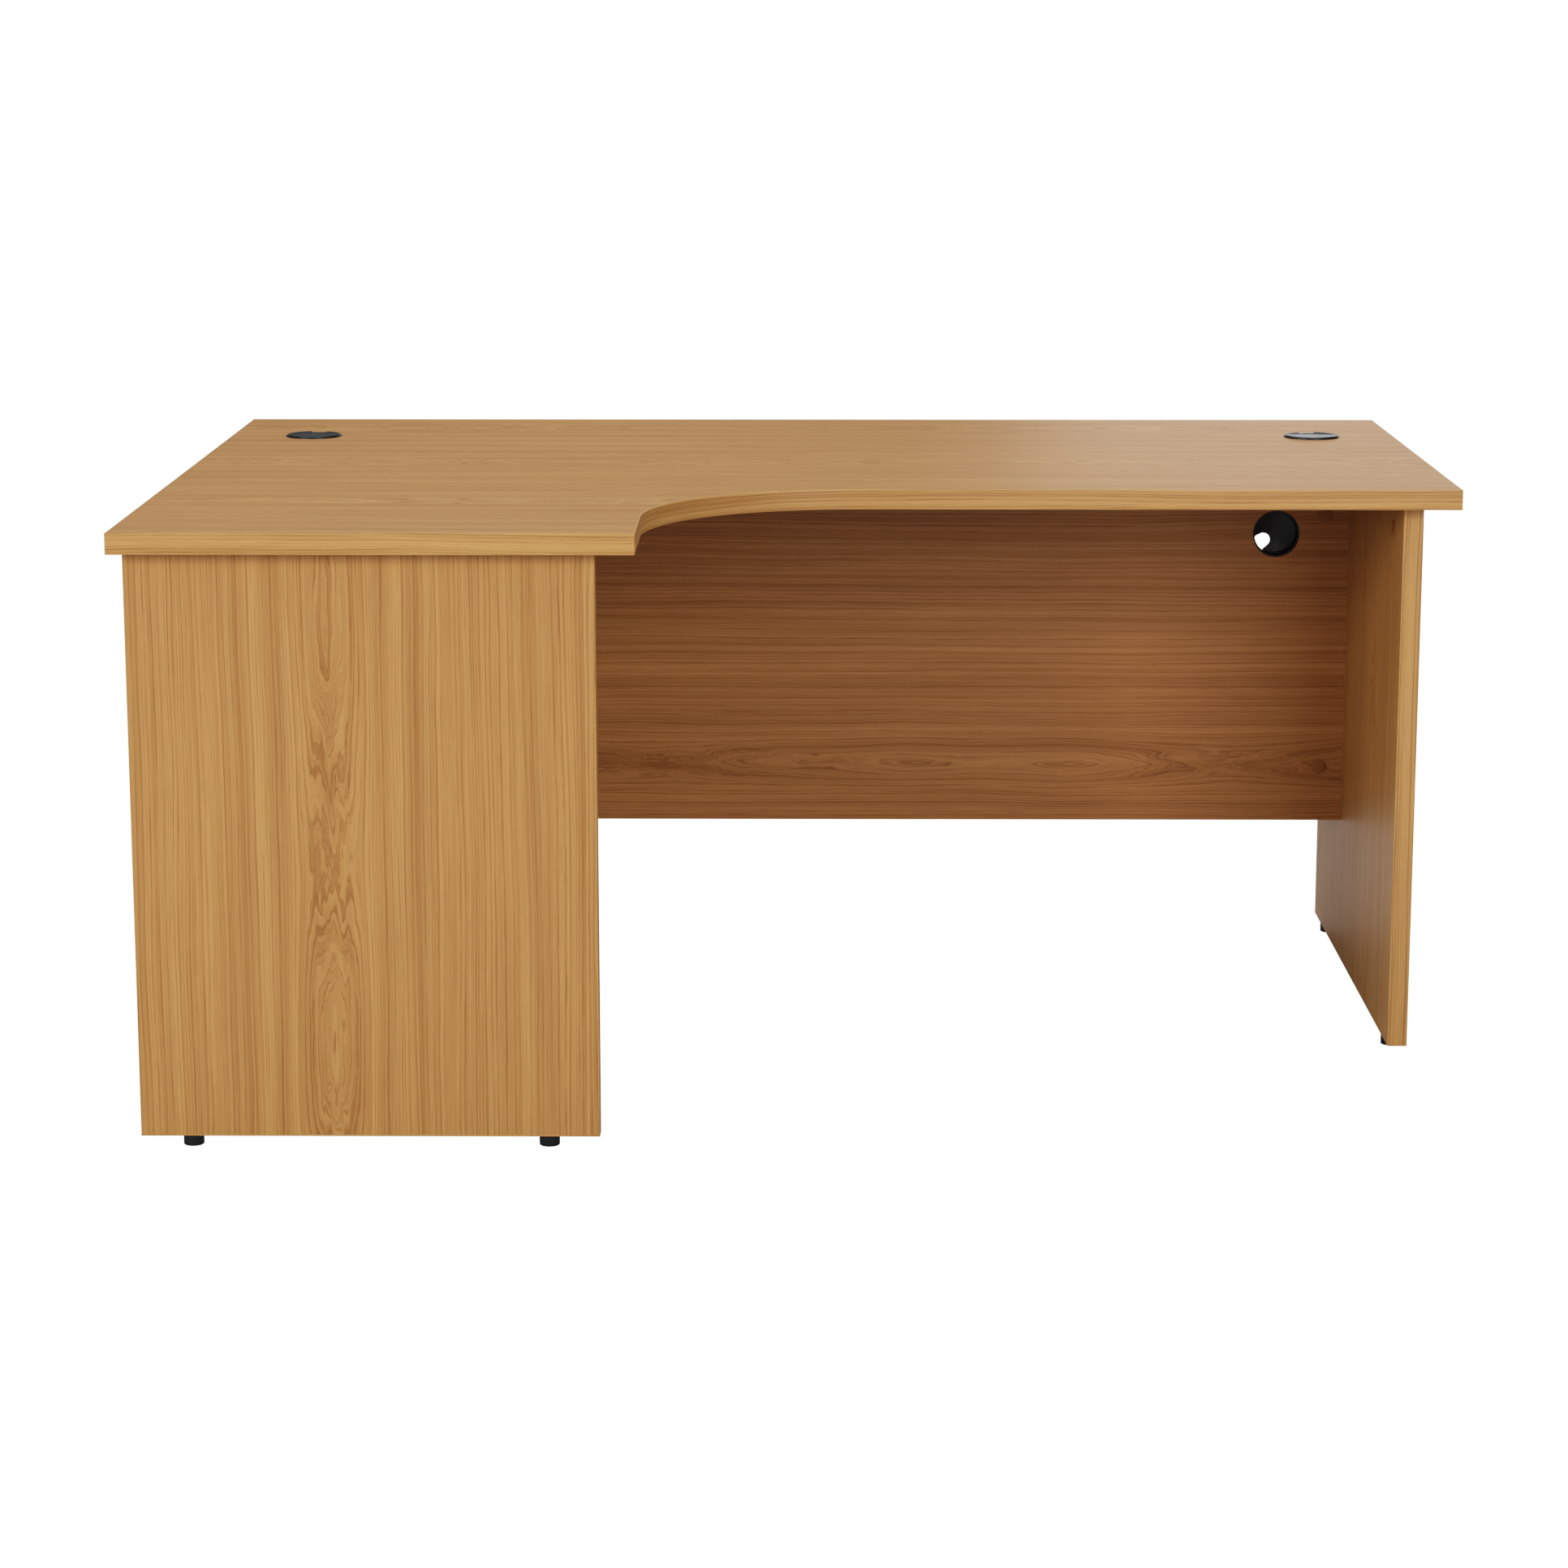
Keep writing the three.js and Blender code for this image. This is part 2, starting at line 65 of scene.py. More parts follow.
def grade_picture():
    """A print-like curve: firm in the shadows, soft in the light woods, white left white."""
    view = scene.view_settings
    view.view_transform = "Standard"
    view.use_curve_mapping = True
    combined = view.curve_mapping.curves[3]
    for light in GRADE_STOPS:
        firm = light ** GRADE_POWER
        lifted = (1 + GRADE_LIFT) * firm / (1 + GRADE_LIFT * firm)
        combined.points.new(light, lifted)
    view.curve_mapping.update()


def add_node(tree, kind, inputs=(), **settings):
    """A node with its options set, and each input joined to a socket or given its value."""
    made = tree.nodes.new(kind)
    for option, choice in settings.items():
        setattr(made, option, choice)
    for socket, source in dict(inputs).items():
        if isinstance(source, bpy.types.NodeSocket):
            tree.links.new(source, made.inputs[socket])
        else:
            made.inputs[socket].default_value = source
    return made


def seen_or_lit(tree, seen, lit):
    """What the camera sees directly, and what lights and reflects in everything else."""
    ray = add_node(tree, "ShaderNodeLightPath")
    mix = add_node(tree, "ShaderNodeMixShader", {0: ray.outputs["Is Camera Ray"]})
    tree.links.new(lit, mix.inputs[1])
    tree.links.new(seen, mix.inputs[2])
    return mix.outputs[0]


def make_world():
    world = bpy.data.worlds.new("studio_air")
    world.use_nodes = True
    tree = world.node_tree
    tree.nodes.clear()
    seen = add_node(tree, "ShaderNodeBackground", {"Color": WHITE, "Strength": 1.0})
    air = add_node(tree, "ShaderNodeBackground", {
        "Color": AIR_COLOUR, "Strength": AIR_STRENGTH,
    })
    output = add_node(tree, "ShaderNodeOutputWorld")
    tree.links.new(seen_or_lit(tree, seen.outputs[0], air.outputs[0]), output.inputs[0])
    scene.world = world


def make_floor():
    material = bpy.data.materials.new("studio_floor")
    material.use_nodes = True
    tree = material.node_tree
    tree.nodes.clear()
    seen = add_node(tree, "ShaderNodeEmission", {"Color": WHITE, "Strength": 1.0})
    matt = add_node(tree, "ShaderNodeBsdfDiffuse", {"Color": FLOOR_COLOUR})
    output = add_node(tree, "ShaderNodeOutputMaterial")
    tree.links.new(seen_or_lit(tree, seen.outputs[0], matt.outputs[0]), output.inputs[0])

    mesh = bpy.data.meshes.new("studio_floor")
    half = FLOOR_HALF
    corners = [(-half, -half, 0), (half, -half, 0), (half, half, 0), (-half, half, 0)]
    mesh.from_pydata(corners, [], [(0, 1, 2, 3)])
    mesh.materials.append(material)
    floor = bpy.data.objects.new("studio_floor", mesh)
    scene.collection.objects.link(floor)


def softbox(name, place, target, size, power):
    light = bpy.data.lights.new(name, "AREA")
    light.shape = "RECTANGLE"
    light.size, light.size_y = size
    light.energy = power
    lamp = bpy.data.objects.new(name, light)
    lamp.location = place
    lamp.rotation_euler = (Vector(target) - Vector(place)).to_track_quat("-Z", "Y").to_euler()
    scene.collection.objects.link(lamp)
    return lamp


def make_camera():
    camera = bpy.data.objects.new("camera", bpy.data.cameras.new("camera"))
    camera.data.lens = CAMERA_LENS
    camera.data.sensor_width = 36
    camera.data.clip_end = 100
    camera.location = CAMERA_PLACE
    camera.rotation_euler = (math.pi / 2 - CAMERA_PITCH, 0, CAMERA_YAW)
    scene.collection.objects.link(camera)
    scene.camera = camera


grade_picture()
make_world()
make_floor()
make_camera()
softbox("left_softbox", place=(-3.5, -3.7, 1.8), target=(0, 0, 0.4), size=(2.2, 1.8), power=77)
softbox("right_softbox", place=(2.0, -4.4, 1.9), target=(0, 0, 0.4), size=(2.2, 1.8), power=69)
softbox("top_softbox", place=(-0.3, 0.2, 3.4), target=(0, 0, 0), size=(3.2, 3.2), power=50)
softbox("rear_panel", place=(1.45, 4.2, 1.35), target=(0.6, 0, 0.6), size=(1.9, 1.1), power=7)
floor_bounce = softbox("floor_bounce", place=(0.3, 1.1, 0.002), target=(0.3, 1.1, 1),
                       size=(1.4, 1.2), power=1.1)
floor_bounce.visible_camera = False


# The desktop board. Chipboard, 25 mm thick, faced on both sides with a printed oak laminate
# whose grain runs the width of the desk. The figure is worked out as growth rings cut by the
# board's face: straight lines away from the heart of each log, pointed arches over it.

MM = 1000.0
OAK_DARK = (0.297, 0.133, 0.038, 1)
OAK_LIGHT = (0.536, 0.302, 0.117, 1)
OAK_PORE = (0.232, 0.098, 0.027, 1)
SWAYS_MM = ((15.0, 150, 900), (8.0, 48, 280), (1.3, 13, 95))
FLAMES_MM = ((14.0, 22, 150), (9.0, 8, 60), (3.5, 4, 20))
FLAME_FAR, FLAME_NEAR = 60.0, 10.0
SWIRL_FAR, SWIRL_NEAR = 62.0, 8.0
SWELL_LENGTH = 430.0
SWELL_SIZE = 95.0
SHARP_SHARE = 0.3
BAND_SPACING = 17.0
ROW_SPACING = 2.7
SLIP_SPACING = 1.7
SLIP_SIZE = 260.0
LOG_STEP = 11.7
LOG_RING_STEP = 517.0
SEED_RING_STEP = 91.0
SWIRL_LEAST, SWIRL_SPREAD = 0.5, 0.6
TONE_LEVEL = 0.70
BAND_STRENGTH = 0.75
FIBRE_STRENGTH = 0.75
CLOUD_STRENGTH = 0.9
ROW_STRENGTH = -0.62
PORES_ANYWHERE, PORES_IN_ROWS = 0.4, 0.6
PORE_INK = 0.5
PORE_DEPTH = 0.00006
PORE_STRENGTH = 0.35
PORE_ROUGHNESS = 0.12
OAK_ROUGHNESS = 0.44
OAK_SPECULAR = 0.42


def new_group(name, inputs, outputs):
    """An empty shader group with those sockets: (tree, its inputs, its output node)."""
    tree = bpy.data.node_groups.new(name, "ShaderNodeTree")
    for socket, kind in inputs:
        tree.interface.new_socket(name=socket, in_out="INPUT", socket_type="NodeSocket" + kind)
    for socket, kind in outputs:
        tree.interface.new_socket(name=socket, in_out="OUTPUT", socket_type="NodeSocket" + kind)
    start = tree.nodes.new("NodeGroupInput")
    end = tree.nodes.new("NodeGroupOutput")
    return tree, start.outputs, end


def calc(tree, operation, *terms):
    return add_node(tree, "ShaderNodeMath", enumerate(terms), operation=operation).outputs[0]


def spread(tree, value, low, high):
    """The value stretched so that low..high fills 0..1."""
    limits = {0: value, 1: low, 2: high, 3: 0.0, 4: 1.0}
    return add_node(tree, "ShaderNodeMapRange", limits, clamp=True).outputs[0]


def noise_along(tree, across, along, seed, width, length, detail=1.0):
    """Noise about 0, drawn out along the grain: width across and length along, in mm."""
    place = add_node(tree, "ShaderNodeCombineXYZ", {
        0: calc(tree, "DIVIDE", across, width),
        1: calc(tree, "DIVIDE", along, length),
        2: seed,
    })
    noise = add_node(tree, "ShaderNodeTexNoise", {
        "Vector": place.outputs[0], "Scale": 1.0, "Detail": detail,
    }, noise_dimensions="3D")
    return calc(tree, "SUBTRACT", noise.outputs[0], 0.5)


def line_noise(tree, place, spacing, detail):
    """Noise along a line, 0 to 1, with features about that many mm apart."""
    noise = add_node(tree, "ShaderNodeTexNoise", {
        "W": calc(tree, "DIVIDE", place, spacing), "Scale": 1.0, "Detail": detail,
        "Roughness": 0.6,
    }, noise_dimensions="1D")
    return noise.outputs[0]


def from_nearest_heart(tree, given, across, along):
    """How far a point lies to the side of its log's heart, and that log's own number, in mm."""
    bent = across
    for size, width, length in SWAYS_MM:
        sway = noise_along(tree, across, along, given["Seed"], width, length)
        bent = calc(tree, "MULTIPLY_ADD", sway, size, bent)
    heart = calc(tree, "MULTIPLY", given["Heart"], MM)
    log_width = calc(tree, "MULTIPLY", given["Log Width"], MM)
    offset = calc(tree, "DIVIDE", calc(tree, "SUBTRACT", bent, heart), log_width)
    log_number = calc(tree, "ROUND", offset)
    aside = calc(tree, "ABSOLUTE", calc(tree, "SUBTRACT", offset, log_number))
    return calc(tree, "MULTIPLY", aside, log_width), log_number


def ring_radius(tree, given, across, along, deep):
    """The radius of the growth ring at a point: the cut runs in and out of the log's cone."""
    seed = given["Seed"]
    aside, log_number = from_nearest_heart(tree, given, across, along)
    log_place = calc(tree, "MULTIPLY_ADD", log_number, LOG_STEP, seed)
    swell_place = calc(tree, "MULTIPLY_ADD", log_place, SWELL_LENGTH, along)
    swell = line_noise(tree, swell_place, SWELL_LENGTH, 0.0)
    swell = calc(tree, "SUBTRACT", swell, 0.5)
    depth = calc(tree, "MULTIPLY_ADD", given["Depth"], MM, deep)
    depth = calc(tree, "MULTIPLY_ADD", swell, SWELL_SIZE, depth)
    near = spread(tree, aside, FLAME_FAR, FLAME_NEAR)
    for size, width, length in FLAMES_MM:
        flame = noise_along(tree, across, along, seed, width, length)
        depth = calc(tree, "MULTIPLY_ADD", calc(tree, "MULTIPLY", flame, near), size, depth)
    chance = add_node(tree, "ShaderNodeTexWhiteNoise", {"W": log_place}, noise_dimensions="1D")
    swirl = calc(tree, "MULTIPLY_ADD", chance.outputs[0], SWIRL_SPREAD, SWIRL_LEAST)
    swirl = calc(tree, "MULTIPLY", swirl, spread(tree, aside, SWIRL_FAR, SWIRL_NEAR))
    depth = calc(tree, "MULTIPLY", calc(tree, "ABSOLUTE", depth), swirl)

    squares = calc(tree, "MULTIPLY_ADD", aside, aside, calc(tree, "MULTIPLY", depth, depth))
    round_ring = calc(tree, "SQRT", squares)
    sharp_ring = calc(tree, "ADD", aside, depth)
    mix = add_node(tree, "ShaderNodeMix", {0: SHARP_SHARE, 2: round_ring, 3: sharp_ring})
    ring = mix.outputs[0]
    ring = calc(tree, "MULTIPLY_ADD", log_number, LOG_RING_STEP, ring)
    return calc(tree, "MULTIPLY_ADD", seed, SEED_RING_STEP, ring)


def make_oak_figure():
    """Oak cut lengthwise. Point is (across, along, into the board), all in metres."""
    tree, given, end = new_group(
        "oak_figure",
        [("Point", "Vector"), ("Heart", "Float"), ("Log Width", "Float"), ("Depth", "Float"),
         ("Seed", "Float")],
        [("Tone", "Float"), ("Pores", "Float")],
    )
    point = add_node(tree, "ShaderNodeVectorMath", {0: given["Point"], 3: MM}, operation="SCALE")
    across, along, deep = add_node(tree, "ShaderNodeSeparateXYZ", {0: point.outputs[0]}).outputs
    seed = given["Seed"]
    ring = ring_radius(tree, given, across, along, deep)

    bands = calc(tree, "SUBTRACT", line_noise(tree, ring, BAND_SPACING, 2.0), 0.5)
    rows = spread(tree, line_noise(tree, ring, ROW_SPACING, 1.0), low=0.56, high=0.38)
    slip = line_noise(tree, ring, SLIP_SPACING, 0.0)
    slipped = calc(tree, "MULTIPLY_ADD", slip, SLIP_SIZE, along)
    patches = noise_along(tree, ring, slipped, seed, width=5, length=90, detail=2.0)
    fade = spread(tree, patches, low=-0.24, high=0.14)
    fibre = noise_along(tree, ring, slipped, seed, width=1.1, length=38, detail=2.0)
    cloud = noise_along(tree, across, along, seed, width=26, length=600, detail=2.0)
    tone = calc(tree, "MULTIPLY_ADD", bands, BAND_STRENGTH, TONE_LEVEL)
    tone = calc(tree, "MULTIPLY_ADD", fibre, FIBRE_STRENGTH, tone)
    tone = calc(tree, "MULTIPLY_ADD", cloud, CLOUD_STRENGTH, tone)
    tone = calc(tree, "MULTIPLY_ADD", calc(tree, "MULTIPLY", rows, fade), ROW_STRENGTH, tone)

    dashes = noise_along(tree, ring, slipped, seed, width=0.8, length=15)
    dashes = spread(tree, dashes, low=0.02, high=0.16)
    crowding = calc(tree, "MULTIPLY_ADD", rows, PORES_IN_ROWS, PORES_ANYWHERE)
    pores = calc(tree, "MULTIPLY", dashes, crowding)
    for socket, value in (("Tone", tone), ("Pores", pores)):
        held = add_node(tree, "ShaderNodeClamp", {0: value})
        tree.links.new(held.outputs[0], end.inputs[socket])
    return tree


oak_figure = make_oak_figure()


def oak_shader(tree, point, heart, log_width, depth, seed, contrast=1.0, lift=0.0, red=1.0):
    """The laminate's print, and the pressed texture that follows its pores.

    Contrast and lift set the tone's spread and level. The last argument, above 1, makes the
    laminate redder: painted shade, the warm cast of a board that stands in shade.
    """
    figure = add_node(tree, "ShaderNodeGroup", node_tree=oak_figure)
    tree.links.new(point, figure.inputs["Point"])
    figure.inputs["Heart"].default_value = heart
    figure.inputs["Log Width"].default_value = log_width
    figure.inputs["Depth"].default_value = depth
    figure.inputs["Seed"].default_value = seed
    tone = calc(tree, "MULTIPLY_ADD", figure.outputs["Tone"], contrast, 0.5 - contrast / 2 + lift)
    pores = calc(tree, "MULTIPLY", figure.outputs["Pores"], PORE_INK * contrast)
    # Painted shade: green and blue are lowered so a board in shade is redder than the same
    # laminate in the light.
    dark = (OAK_DARK[0], OAK_DARK[1] / red, OAK_DARK[2] / red, 1)
    light = (OAK_LIGHT[0], OAK_LIGHT[1] / red, OAK_LIGHT[2] / red, 1)
    wood = add_node(tree, "ShaderNodeMix", {0: tone, 6: dark, 7: light}, data_type="RGBA")
    inked = add_node(
        tree, "ShaderNodeMix", {0: pores, 6: wood.outputs[2], 7: OAK_PORE}, data_type="RGBA",
    )
    bump = add_node(tree, "ShaderNodeBump", {
        "Height": figure.outputs["Pores"], "Strength": PORE_STRENGTH,
        "Distance": PORE_DEPTH,
    }, invert=True)
    roughness = calc(tree, "MULTIPLY_ADD", figure.outputs["Pores"], PORE_ROUGHNESS, OAK_ROUGHNESS)
    shader = add_node(tree, "ShaderNodeBsdfPrincipled", {
        "Base Color": inked.outputs[2], "Roughness": roughness, "Normal": bump.outputs[0],
        "Specular IOR Level": OAK_SPECULAR,
    })
    output = add_node(tree, "ShaderNodeOutputMaterial")
    tree.links.new(shader.outputs[0], output.inputs[0])


def new_material(name):
    material = bpy.data.materials.new(name)
    material.use_nodes = True
    material.node_tree.nodes.clear()
    return material


def finish_node(node, material):
    """Gives a CAD node its material."""
    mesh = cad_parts[node].data
    mesh.materials.clear()
    mesh.materials.append(material)


def oak_board(node, across, along, into, **figure):
    """Faces a board with laminate, given the row axes across, along and into its grain."""
    material = new_material(f"{node}_laminate")
    tree = material.node_tree
    place = add_node(tree, "ShaderNodeTexCoord").outputs["Object"]
    axes = add_node(tree, "ShaderNodeSeparateXYZ", {0: place}).outputs
    deep = calc(tree, "SUBTRACT", axes[into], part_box(node)[0][into])
    point = add_node(tree, "ShaderNodeCombineXYZ", {0: axes[across], 1: axes[along], 2: deep})
    oak_shader(tree, point.outputs[0], **figure)
    finish_node(node, material)


X, Y, Z = 0, 1, 2
oak_board("desktop_board", across=Y, along=X, into=Z, heart=0.09, log_width=0.40, depth=0.012,
          seed=3.0, contrast=0.8)


# The desktop's edging. Oak-effect strips, 2 mm thick, glued round the board and trimmed flush,
# their outer arrises rounded over. One long strip bends round the inner curve and carries on
# along the front.

EDGING = 0.002
ARRIS = 0.0011
INNER_RADIUS = 0.25
ARRIS_STEPS = 5
CURVE_STEPS = 64


def edging_profile(width):
    """Half-section of a strip: (in from the outer face, up), with two rounded outer arrises."""
    angles = [i * math.pi / 2 / ARRIS_STEPS for i in range(ARRIS_STEPS + 1)]
    lower = [(ARRIS * (1 - math.sin(a)), ARRIS * (1 - math.cos(a))) for a in angles]
    upper = [(x, width - y) for x, y in reversed(lower)]
    return [(EDGING, 0.0)] + lower + upper + [(EDGING, width)]


def make_strip_tree():
    """Geometry Nodes: sweeps a closed section along a path and notes the length run so far."""
    tree = bpy.data.node_groups.new("edging_strip", "GeometryNodeTree")
    tree.interface.new_socket(name="Path", in_out="INPUT", socket_type="NodeSocketGeometry")
    tree.interface.new_socket(name="Section", in_out="INPUT", socket_type="NodeSocketObject")
    tree.interface.new_socket(name="Finish", in_out="INPUT", socket_type="NodeSocketMaterial")
    tree.interface.new_socket(name="Strip", in_out="OUTPUT", socket_type="NodeSocketGeometry")
    start = tree.nodes.new("NodeGroupInput").outputs
    run = add_node(tree, "GeometryNodeSplineParameter").outputs["Length"]
    marked = add_node(tree, "GeometryNodeStoreNamedAttribute", {
        "Geometry": start["Path"], "Name": "run", "Value": run,
    }, data_type="FLOAT", domain="POINT")
    section = add_node(tree, "GeometryNodeObjectInfo", {"Object": start["Section"]})
    round_it = add_node(tree, "GeometryNodeSplineParameter").outputs["Length"]
    wound = add_node(tree, "GeometryNodeStoreNamedAttribute", {
        "Geometry": section.outputs["Geometry"], "Name": "girth", "Value": round_it,
    }, data_type="FLOAT", domain="POINT")
    swept = add_node(tree, "GeometryNodeCurveToMesh", {
        "Curve": marked.outputs[0], "Profile Curve": wound.outputs[0], "Fill Caps": True,
    })
    real = add_node(tree, "GeometryNodeRealizeInstances", {0: swept.outputs[0]})
    dressed = add_node(tree, "GeometryNodeSetMaterial", {
        "Geometry": real.outputs[0], "Material": start["Finish"],
    })
    end = tree.nodes.new("NodeGroupOutput")
    tree.links.new(dressed.outputs[0], end.inputs["Strip"])
    return tree


strip_tree = make_strip_tree()


def poly_curve(name, runs, closed=False):
    """A curve object with one straight-sided spline for each run of points."""
    curve = bpy.data.curves.new(name, "CURVE")
    curve.dimensions = "3D"
    curve.twist_mode = "Z_UP"
    for run in runs:
        spline = curve.splines.new("POLY")
        spline.points.add(len(run) - 1)
        for point, place in zip(spline.points, run):
            point.co = (*place, 1.0)
        spline.use_cyclic_u = closed
    path = bpy.data.objects.new(name, curve)
    scene.collection.objects.link(path)
    return path


def run_tree(path, tree, values):
    """What a Geometry Nodes tree makes of an object, as a plain mesh."""
    modifier = path.modifiers.new("tree", "NODES")
    modifier.node_group = tree
    sockets = {item.name: item.identifier for item in tree.interface.items_tree
               if item.in_out == "INPUT"}
    for name, value in values.items():
        modifier[sockets[name]] = value
    view = bpy.context.evaluated_depsgraph_get()
    view.update()
    mesh = bpy.data.meshes.new_from_object(path.evaluated_get(view), depsgraph=view)
    path.modifiers.remove(modifier)
    return mesh


def sweep_strips(name, runs, width, finish):
    """Strips along straight-sided runs that lie in a level plane, their inner side to the left."""
    path = poly_curve(name + "_path", runs)
    profile = [(-x, -y, 0.0) for x, y in edging_profile(width)]
    section = poly_curve(name + "_section", [profile], closed=True)
    mesh = run_tree(path, strip_tree, {"Section": section, "Finish": finish})
    for helper in (path, section):
        bpy.data.objects.remove(helper)
    mesh.name = name
    return mesh


def add_piece(name, mesh, body, replaced):
    """Puts a finished mesh in the scene as a piece of the desk."""
    piece = bpy.data.objects.new(name, mesh)
    scene.collection.objects.link(piece)
    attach(piece, body)
    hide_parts(*replaced)
    return piece


def oak_strip(name, seed):
    """Edging: its grain follows the strip, so it is drawn on the length run and the girth."""
    material = new_material(name)
    tree = material.node_tree
    run = add_node(tree, "ShaderNodeAttribute", attribute_name="run").outputs["Fac"]
    girth = add_node(tree, "ShaderNodeAttribute", attribute_name="girth").outputs["Fac"]
    point = add_node(tree, "ShaderNodeCombineXYZ", {0: girth, 1: run, 2: 0.0})
    oak_shader(tree, point.outputs[0], heart=-0.07, log_width=0.35, depth=0.02, seed=seed,
               lift=0.12)
    return material


def curve_run(centre, radius, start, stop, steps):
    turns = [start + (stop - start) * i / steps for i in range(steps + 1)]
    return [(centre[0] + radius * math.cos(t), centre[1] + radius * math.sin(t)) for t in turns]


top_low, top_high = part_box("desktop_edging_rear")
side_low, side_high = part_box("desktop_edging_left")
return_low, return_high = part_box("desktop_edging_return")
inner_low, inner_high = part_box("desktop_edging_inner")
right_low, right_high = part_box("desktop_edging_right")
underside = inner_low[2]
board_thickness = inner_high[2] - inner_low[2]
inner_x, front_y = inner_low[0] + EDGING, inner_high[1] - EDGING
curve_centre = (inner_x + INNER_RADIUS, front_y - INNER_RADIUS)
inner_path = (
    [(inner_x, inner_low[1])]
    + curve_run(curve_centre, INNER_RADIUS, math.pi, math.pi / 2, CURVE_STEPS)
    + [(inner_high[0], front_y)]
)
top_strips = {
    "rear": [(top_high[0], top_high[1]), (top_low[0], top_high[1])],
    "left": [(side_low[0], side_high[1]), (side_low[0], side_low[1])],
    "return": [(return_low[0], return_low[1]), (return_high[0], return_low[1])],
    "inner": inner_path,
    "right": [(right_high[0], right_low[1]), (right_high[0], right_high[1])],
}
for order, (side, run) in enumerate(top_strips.items()):
    node = f"desktop_edging_{side}"
    finish = oak_strip(f"oak_edging_{side}", seed=20.0 + order)
    level_run = [(x, y, underside) for x, y in run]
    strip = sweep_strips(f"top_edge_{side}", [level_run], board_thickness, finish)
    add_piece(f"top_edge_{side}", strip, "desk", [node])


# The three leg panels. The same 25 mm board with upright grain, edged down the front, across
# the foot and up the rear, and held under the top by cams. The return leg faces the sitter.

LEG_FIGURES = {
    "return_leg": dict(across=X, along=Z, into=Y, heart=-0.556, log_width=0.36, depth=0.03,
                       seed=2.0, contrast=0.85),
    "right_leg": dict(across=Y, along=Z, into=X, heart=0.05, log_width=0.50, depth=0.03,
                      seed=5.0, contrast=0.85, lift=0.25),
    "rear_leg": dict(across=Y, along=Z, into=X, heart=0.26, log_width=0.34, depth=0.03,
                     seed=21.0),
}


def leg_strips(name):
    """A leg's three strips, swept lying flat and then stood up in the leg's own plane."""
    low, high = (Vector(corner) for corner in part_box(f"{name}_edging"))
    size = high - low
    facing_side = size.x < size.y
    length = size.y if facing_side else size.x
    height = size.z
    thickness = size.x if facing_side else size.y
    runs = [
        [(0, height, 0), (0, EDGING, 0)],
        [(0, 0, 0), (length, 0, 0)],
        [(length, EDGING, 0), (length, height, 0)],
    ]
    finish = oak_strip(f"oak_edging_{name}", seed=length * MM)
    mesh = sweep_strips(f"{name}_edges", runs, thickness, finish)
    along = Vector((0, 1, 0)) if facing_side else Vector((1, 0, 0))
    up = Vector((0, 0, 1))
    out = along.cross(up)
    origin = low if facing_side else Vector((low.x, high.y, low.z))
    stand = Matrix((
        (along.x, up.x, out.x, origin.x),
        (along.y, up.y, out.y, origin.y),
        (along.z, up.z, out.z, origin.z),
        (0, 0, 0, 1),
    ))
    mesh.transform(stand)
    add_piece(f"{name}_edges", mesh, "desk", [f"{name}_edging"])


for name, figure in LEG_FIGURES.items():
    oak_board(f"{name}_panel", **figure)
    leg_strips(name)


# The two modesty panels. Thinner 18 mm board with level grain, hung between the legs close
# under the top, their edges only lightly eased.

# Painted shade: both panels take a redder copy of the laminate, which stands in for the warm
# bounced shade under the top.
MODESTY_FIGURES = {
    "main_modesty": dict(across=Z, along=X, into=Y, heart=0.283, log_width=0.4, depth=0.016,
                         seed=5.0, contrast=0.9, red=1.13),
    "return_modesty": dict(across=Z, along=Y, into=X, heart=0.33, log_width=0.26, depth=0.024,
                           seed=41.0, red=1.13),
}
for name, figure in MODESTY_FIGURES.items():
    oak_board(f"{name}_panel", **figure)


# The cable ports. Black moulded plastic: a sleeve pushed into a 64 mm hole, its flange on the
# board's face, and a notched cap that turns in it on a short skirt. Two are in the desktop and
# one is in the main modesty panel, put in from behind.

PORT_STEPS = 96
FLANGE = 0.0015
FLANGE_REACH = 0.006
SLEEVE_WALL = 0.002
SLEEVE_GAP = 0.0003
SLEEVE_ROUND = 0.0006
CAP_RISE = 0.0015
CAP_GAP = 0.0001
CAP_ROUND = 0.0011
CAP_INSET = 0.0015
DISH_EDGE = 0.006
DISH_SLOPE = 0.0006
DISH_DEPTH = 0.0003
SKIRT_WALL = 0.0015
SKIRT_GAP = 0.0009
SKIRT_DEPTH = 0.005
NOTCH_STEPS = 28
NOTCH_RADIUS = 0.0095
NOTCH_REACH = 0.019
NOTCH_FLARE = math.radians(7.5)
TOP_NOTCH_TURN = math.radians(7)
MODESTY_NOTCH_TURN = math.radians(124)
CUTTER_OVERRUN = 0.01
CUTTER_HALF = 0.02
EASED = 0.00025


